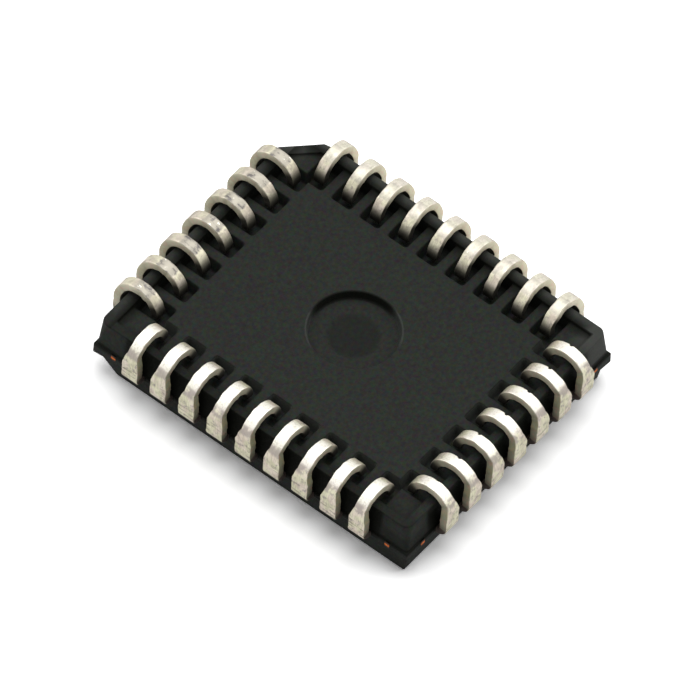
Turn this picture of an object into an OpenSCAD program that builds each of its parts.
// Plastic leaded chip carrier for a one-time-programmable EPROM.
// It lies on its marking face at z = 0, with the seating plane of its J-leads on top.
// Lead 1 is in the middle of the +Y side, and the numbers run clockwise seen from above.

/* [Lead rows] */
// Leads along each short side
short_leads = 7; // [5:2:7]
// Leads along each long side
long_leads = 9; // [7:2:11]
// Distance from one lead to the next
pitch = 1.27; // [1.25:0.01:1.3]
// Distance from the last lead of a row to the corner of the moulded rim
corner_margin = 1.96; // [1.9:0.01:2.1]

/* [Leads] */
// Thickness of the plated lead metal
lead_t = 0.25; // [0.2:0.01:0.26]
// Width of the foot that curls under the body
foot_w = 0.44; // [0.4:0.01:0.5]
// Width of the shoulder between the body and the foot
shoulder_w = 0.7; // [0.66:0.01:0.81]
// Distance from the moulded rim out to the outer face of the leads
lead_reach = 0.45; // [0.42:0.01:0.5]
// Outer radius of the foot's curl
curl_r = 0.95; // [0.9:0.01:1]
// Length of the straight tip beyond the half turn
tip_len = 0.05; // [0.01:0.01:0.12]
// Height where the shoulder starts to narrow
neck_low = 2.25; // [2.15:0.01:2.35]
// Height where the foot has its own width
neck_high = 2.7; // [2.6:0.01:2.8]

/* [Body] */
// Height of the whole carrier, from its marking face to the seating plane
height = 3.2; // [3.15:0.01:3.25]
// Height of the body's underside, which faces up here
base_z = 2.46; // [2.4:0.01:2.5]
// Height of the lip that runs round the underside
lip_h = 0.13; // [0.05:0.01:0.18]
// Width of the lip's flat top
lip_w = 0.36; // [0.3:0.01:0.4]
// Height of the middle of the lead frame, where the two mould halves meet
frame_z = 1.26; // [1.22:0.01:1.3]
// Width of the ledge that the rim forms around the moulded walls
rim_ledge = 0.07; // [0.04:0.01:0.1]
// Draft angle of the walls on the underside half
base_draft = 5.5; // [3:0.5:7]
// Draft angle of the walls on the marking half
marking_draft = 12; // [8:0.5:13]
// Corner radius of the two flat faces
corner_r = 0.22; // [0.15:0.01:0.3]
// Leg of the 45 degree chamfer at the corner beside lead 4
key_chamfer = 1.14; // [1.07:0.01:1.2]
// Setback of the 45 degree bevel along the marking face's lead 1 edge
edge_bevel = 0.9; // [0.7:0.05:1]
// Diameter of the lead 1 dimple in the marking face
dimple_d = 1.2; // [1:0.1:1.5]
// Depth of the lead 1 dimple
dimple_depth = 0.1; // [0.05:0.01:0.15]

/* [Underside] */
// Width of the mouth of the pocket that each lead tip curls into
pocket_w = 0.87; // [0.8:0.01:0.92]
// Distance from the leads' outer face to the far end of a pocket's mouth
pocket_reach = 2.25; // [2.2:0.01:2.3]
// Depth of a pocket
pocket_depth = 0.56; // [0.45:0.01:0.6]
// Draft angle of a pocket's walls
pocket_draft = 7; // [3:0.5:9]
// Diameter of the round recess on the axis
recess_d = 3.35; // [3:0.05:3.6]
// Depth of the round recess
recess_depth = 0.35; // [0.25:0.01:0.4]
// Diameter of the shallow disc inside the recess
disc_d = 1.9; // [1.6:0.1:2.4]
// Depth of the disc below the recess
disc_depth = 0.05; // [0.03:0.01:0.08]

/* [Inside] */
// Width of the silicon die
die_w = 4.2; // [3.6:0.1:4.4]
// Length of the silicon die
die_l = 6; // [5.2:0.1:6.4]
// Thickness of the silicon die
die_t = 0.4; // [0.3:0.01:0.42]
// Thickness of the adhesive under the die
attach_t = 0.03; // [0.02:0.01:0.05]
// Width of the adhesive that shows around the die
attach_rim = 0.1; // [0.05:0.01:0.15]
// Width of the copper around the die on its paddle
paddle_rim = 0.5; // [0.4:0.01:0.55]
// How far the paddle is set towards the underside
downset = 0.25; // [0.2:0.01:0.3]
// Gap between the paddle and the finger tips
finger_gap = 0.35; // [0.3:0.01:0.4]
// Width of a finger's tip
finger_tip_w = 0.36; // [0.3:0.01:0.4]
// Length of the straight shank of a finger, from the rim
shank_l = 0.75; // [0.7:0.01:0.8]
// Width of the bars that hold the paddle
tie_w = 0.2; // [0.15:0.01:0.25]
// Distance from a corner of the rim to the cut end of a tie bar
tie_inset = 0.9; // [0.85:0.01:0.95]
// Thickness of a bond wire
wire_t = 0.03; // [0.025:0.005:0.05]
// Height of a bond wire's loop over the die
wire_loop = 0.18; // [0.15:0.01:0.22]
// Distance from the edge of the die to its bond pads
pad_inset = 0.12; // [0.1:0.01:0.15]
// Share of the die's edge that its row of pads takes
pad_spread = 0.82; // [0.7:0.01:0.85]

/* [Hidden] */
tiny = 0.01;
lead_count = 2 * (short_leads + long_leads);
rim_x = (short_leads - 1) / 2 * pitch + corner_margin;
rim_y = (long_leads - 1) / 2 * pitch + corner_margin;
lip_z = base_z + lip_h;
rim_low = frame_z - lead_t / 2;
rim_high = frame_z + lead_t / 2;
curl_z = height - curl_r;
// The bend beside the body turns the lead up through a quarter turn
bend_r = lead_reach;
paddle_w = die_w + 2 * paddle_rim;
paddle_l = die_l + 2 * paddle_rim;
paddle_z = frame_z + downset;
die_back_z = paddle_z - lead_t / 2 - attach_t;
die_face_z = die_back_z - die_t;
ring_x = paddle_w / 2 + finger_gap;
ring_y = paddle_l / 2 + finger_gap;
// Distance from the tip of a finger to its stitch
stitch_inset = 0.22;
// Share of the ring round the die that the finger tips of one side take
tip_spread = 0.87;
// Share of a wire's span that runs level over the die
level_share = 0.3;
// Where a tie bar starts to rise from the paddle, and where it reaches the lead frame
rise_start = 0.2;
rise_end = 0.6;
// Overlap that joins two bars into one
bar_overlap = 0.1;

function numbered(n) = str("lead_", n < 10 ? "0" : "", n);

// Each side is drawn as the +Y side and turned into place, so a lead is known by its side
// and by its place along that side
function slot_of(n) = (n - 1 + (short_leads - 1) / 2) % lead_count;
function side_of(n) = let (k = slot_of(n))
    k < short_leads ? 0 : k < short_leads + long_leads ? 1
    : k < 2 * short_leads + long_leads ? 2 : 3;
function is_short(side) = side % 2 == 0;
function side_leads(side) = is_short(side) ? short_leads : long_leads;
function first_slot(side) = [0, short_leads, short_leads + long_leads, 2 * short_leads + long_leads][side];
function along(n) = let (side = side_of(n))
    (slot_of(n) - first_slot(side) - (side_leads(side) - 1) / 2) * pitch;

// Half sizes seen from the side that carries the lead
function rim_at(side) = is_short(side) ? rim_y : rim_x;
function lip_inner(side) = rim_at(side) - rim_ledge - (lip_z - frame_z) * tan(base_draft) - lip_w;
function ring_at(side) = is_short(side) ? ring_y : ring_x;
function ring_beside(side) = is_short(side) ? ring_x : ring_y;
function die_at(side) = (is_short(side) ? die_l : die_w) / 2;
function die_beside(side) = (is_short(side) ? die_w : die_l) / 2;
function row_half(side) = (side_leads(side) - 1) / 2 * pitch;

// Places along the side where a finger ends, where its wire is stitched and where its pad is
function tip_along(n) = let (side = side_of(n))
    along(n) / row_half(side) * (ring_beside(side) * tip_spread - finger_tip_w / 2);
function stitch_along(n) = let (side = side_of(n), free_l = rim_at(side) - shank_l - ring_at(side))
    tip_along(n) + (along(n) - tip_along(n)) * stitch_inset / free_l;
function pad_along(n) = let (side = side_of(n))
    along(n) / row_half(side) * die_beside(side) * pad_spread;

module on_side(n) rotate(-90 * side_of(n)) children();

// A long prism under one leaning wall, which is half away from the axis at the parting plane
module wall_section(half, depth, draft) {
    back = -2 * rim_y;
    rotate([90, 0, 0])
        linear_extrude(4 * rim_y, center = true)
            polygon([[back, 0], [half, 0], [half - depth * tan(draft), depth], [back, depth]]);
}

// Half of the moulded block, from the parting plane at z = 0 to its flat face at z = depth
module mould_half(depth, draft) {
    half_x = rim_x - rim_ledge;
    half_y = rim_y - rim_ledge;
    half_key = (rim_x + rim_y - key_chamfer) / sqrt(2) - rim_ledge;
    foot_r = corner_r + depth * tan(draft);
    difference() {
        intersection() {
            wall_section(half_x, depth, draft);
            rotate(45) wall_section(half_key, depth, draft);
            rotate(90) wall_section(half_y, depth, draft);
            rotate(180) wall_section(half_x, depth, draft);
            rotate(270) wall_section(half_y, depth, draft);
        }
        for (corner = [[-1, 1], [-1, -1], [1, -1]])
            translate([corner.x * (half_x - foot_r), corner.y * (half_y - foot_r), 0])
                difference() {
                    translate([corner.x * (foot_r / 2 + tiny), corner.y * (foot_r / 2 + tiny), depth / 2])
                        cube([foot_r + 2 * tiny, foot_r + 2 * tiny, depth + 2 * tiny], center = true);
                    cylinder(h = depth, r1 = foot_r, r2 = corner_r, $fn = 64);
                }
    }
}

// The mould parting leaves a rim as thick as the lead frame
module rim() {
    translate([0, 0, rim_low])
        linear_extrude(lead_t)
            polygon([[-rim_x, -rim_y], [rim_x, -rim_y], [rim_x, rim_y - key_chamfer],
                     [rim_x - key_chamfer, rim_y], [-rim_x, rim_y]]);
}

// The walls of the underside half stand a little above its face and leave a lip all round
module lip_hollow() {
    in_x = lip_inner(1);
    in_y = lip_inner(0);
    in_chamfer = key_chamfer - (2 - sqrt(2)) * (rim_x - in_x);
    translate([0, 0, base_z])
        linear_extrude(1)
            polygon([[-in_x, -in_y], [in_x, -in_y], [in_x, in_y - in_chamfer],
                     [in_x - in_chamfer, in_y], [-in_x, in_y]]);
}

// The finger of one lead inside the body, a shank and then a taper towards the die
module finger(n) {
    side = side_of(n);
    out = rim_at(side);
    shank_end = out - shank_l;
    on_side(n)
        translate([0, 0, rim_low])
            linear_extrude(lead_t)
                polygon([
                    [along(n) - shoulder_w / 2, out],
                    [along(n) - shoulder_w / 2, shank_end],
                    [tip_along(n) - finger_tip_w / 2, ring_at(side)],
                    [tip_along(n) + finger_tip_w / 2, ring_at(side)],
                    [along(n) + shoulder_w / 2, shank_end],
                    [along(n) + shoulder_w / 2, out]]);
}

// Side view of the bent strip outside the body, with the outer face at x = 0
module lead_profile() {
    embed = shank_l / 2;
    bend_z = rim_low + bend_r;
    difference() {
        translate([bend_r, bend_z]) circle(bend_r, $fn = 96);
        translate([bend_r, bend_z]) circle(bend_r - lead_t, $fn = 96);
        translate([bend_r, 0]) square([bend_r + 1, height]);
        translate([-1, bend_z]) square([bend_r + 2, height]);
    }
    translate([bend_r - tiny, rim_low]) square([embed + tiny, lead_t]);
    translate([0, bend_z - tiny]) square([lead_t, curl_z - bend_z + 2 * tiny]);
    difference() {
        translate([curl_r, curl_z]) circle(curl_r, $fn = 128);
        translate([curl_r, curl_z]) circle(curl_r - lead_t, $fn = 128);
        translate([-1, curl_z - curl_r - 1]) square([2 * curl_r + 2, curl_r + 1]);
    }
    translate([2 * curl_r - lead_t, curl_z - tip_len]) square([lead_t, tip_len + tiny]);
}

// Front view of the strip: a wide shoulder, a slanted cut and a narrow foot
module lead_front() {
    polygon([
        [-shoulder_w / 2, rim_low - 1], [shoulder_w / 2, rim_low - 1],
        [shoulder_w / 2, neck_low], [foot_w / 2, neck_high],
        [foot_w / 2, height + 1], [-foot_w / 2, height + 1],
        [-foot_w / 2, neck_high], [-shoulder_w / 2, neck_low]]);
}

module lead(n) {
    side = side_of(n);
    outer = rim_at(side) + lead_reach;
    color("gainsboro") {
        on_side(n)
            intersection() {
                translate([along(n), outer, 0])
                    rotate([90, 0, -90])
                        linear_extrude(shoulder_w + 1, center = true) lead_profile();
                union() {
                    translate([along(n), outer + 1, 0])
                        rotate([90, 0, 0]) linear_extrude(lead_reach + 1 + shank_l / 2 - tiny) lead_front();
                    translate([along(n) - foot_w / 2, outer - 2 * curl_r - 1, curl_z - 1])
                        cube([foot_w, 2 * curl_r + 2, height]);
                }
            }
        finger(n);
    }
}

// A pocket in the underside, which leaves room for the tip of the curl.
// Its side and end walls lean out, and the lip stands over its outer end.
module pocket(n) {
    side = side_of(n);
    lean = pocket_depth * tan(pocket_draft);
    floor_z = base_z - pocket_depth;
    inner_end = rim_at(side) + lead_reach - pocket_reach;
    outer_end = lip_inner(side);
    on_side(n)
        intersection() {
            translate([along(n), outer_end, 0])
                rotate([90, 0, 0])
                    linear_extrude(2 * (outer_end - inner_end))
                        polygon([[lean - pocket_w / 2, floor_z], [pocket_w / 2 - lean, floor_z],
                                 [pocket_w / 2, base_z], [pocket_w / 2, lip_z],
                                 [-pocket_w / 2, lip_z], [-pocket_w / 2, base_z]]);
            translate([along(n) - pocket_w, 0, 0])
                rotate([90, 0, 90])
                    linear_extrude(2 * pocket_w)
                        polygon([[inner_end + lean, floor_z], [outer_end, floor_z],
                                 [outer_end, lip_z], [inner_end, lip_z], [inner_end, base_z]]);
        }
}

// A flat bar from one point to another
module bar(from, to, width) {
    step = to - from;
    translate(from)
        rotate(atan2(step.y, step.x))
            translate([0, -width / 2]) square([norm(step), width]);
}

// A tie bar leaves the paddle's corner, rises to the lead frame and forks to the two side faces.
// At the chamfered corner it stays straight and ends in the chamfer.
module tie_bar(corner) {
    keyed = corner == [1, 1];
    key_line = rim_x + rim_y - key_chamfer;
    root = [paddle_w / 2 - tie_w / 2, paddle_l / 2 - tie_w / 2];
    fork = [rim_x - tie_inset, rim_y - tie_inset];
    reach = norm(fork - root);
    mirror([corner.x < 0 ? 1 : 0, 0, 0])
        mirror([0, corner.y < 0 ? 1 : 0, 0]) {
            translate([root.x, root.y, 0])
                rotate(atan2(fork.y - root.y, fork.x - root.x))
                    rotate([90, 0, 0])
                        linear_extrude(tie_w, center = true)
                            polygon([
                                [0, paddle_z - lead_t / 2], [rise_start, paddle_z - lead_t / 2],
                                [rise_end, rim_low], [reach, rim_low],
                                [reach, rim_high], [rise_end, rim_high],
                                [rise_start, paddle_z + lead_t / 2], [0, paddle_z + lead_t / 2]]);
            translate([0, 0, rim_low])
                linear_extrude(lead_t)
                    if (keyed) {
                        intersection() {
                            bar(fork - bar_overlap * [1, 1], fork + tie_inset * [1, 1], tie_w);
                            polygon([[0, 0], [key_line, 0], [0, key_line]]);
                        }
                    } else {
                        bar(fork - [tie_w / 2, 0], [rim_x, fork.y], tie_w);
                        bar(fork - [0, tie_w / 2], [fork.x, rim_y], tie_w);
                    }
        }
}

module die_paddle() {
    color("peru") {
        translate([0, 0, paddle_z])
            cube([paddle_w, paddle_l, lead_t], center = true);
        for (corner = [[1, 1], [-1, 1], [-1, -1], [1, -1]]) tie_bar(corner);
    }
}

module die_attach() {
    color("silver")
        translate([-die_w / 2 - attach_rim, -die_l / 2 - attach_rim, die_back_z])
            cube([die_w + 2 * attach_rim, die_l + 2 * attach_rim, attach_t]);
}

module die() {
    color("slategray")
        translate([-die_w / 2, -die_l / 2, die_face_z])
            cube([die_w, die_l, die_t]);
}

// A wire rises from its pad, runs level over the die's edge and slopes down to its finger
module bond_wire(n) {
    side = side_of(n);
    pad = [pad_along(n), die_at(side) - pad_inset];
    stitch = [stitch_along(n), ring_at(side) + stitch_inset];
    span = norm(stitch - pad);
    loop_z = die_face_z - wire_loop;
    level_end = span * level_share;
    on_side(n)
        translate([pad.x, pad.y, 0])
            rotate(atan2(stitch.y - pad.y, stitch.x - pad.x))
                rotate([90, 0, 0])
                    linear_extrude(wire_t, center = true)
                        polygon([
                            [-wire_t / 2, die_face_z], [-wire_t / 2, loop_z], [level_end, loop_z],
                            [span, rim_low - wire_t], [span + 2 * wire_t, rim_low - wire_t],
                            [span + 2 * wire_t, rim_low], [span, rim_low],
                            [level_end, loop_z + wire_t], [wire_t / 2, loop_z + wire_t],
                            [wire_t / 2, die_face_z]]);
}

module bond_wires() {
    color("gold")
        for (n = [1:lead_count]) bond_wire(n);
}

// The moulding fills every gap round the parts that it holds
module package_body() {
    color([0.1, 0.1, 0.11])
        difference() {
            union() {
                translate([0, 0, frame_z]) mould_half(lip_z - frame_z, base_draft);
                translate([0, 0, frame_z]) mirror([0, 0, 1]) mould_half(frame_z, marking_draft);
                rim();
            }
            lip_hollow();
            for (n = [1:lead_count]) {
                pocket(n);
                finger(n);
            }
            translate([0, 0, base_z - recess_depth]) cylinder(h = 1, d = recess_d, $fn = 96);
            translate([0, 0, base_z - recess_depth - disc_depth]) cylinder(h = 1, d = disc_d, $fn = 96);
            translate([0, rim_y - edge_bevel - dimple_d, -1])
                cylinder(h = 1 + dimple_depth, d = dimple_d, $fn = 64);
            translate([-rim_x, rim_y - edge_bevel, 0])
                rotate([45, 0, 0])
                    translate([-1, 0, -2]) cube([2 * rim_x + 2, 2, 2]);
            die_paddle();
            die_attach();
            die();
            bond_wires();
        }
}

package_body();
for (n = [1:lead_count])
    lead(n);
die_paddle();
die_attach();
die();
bond_wires();
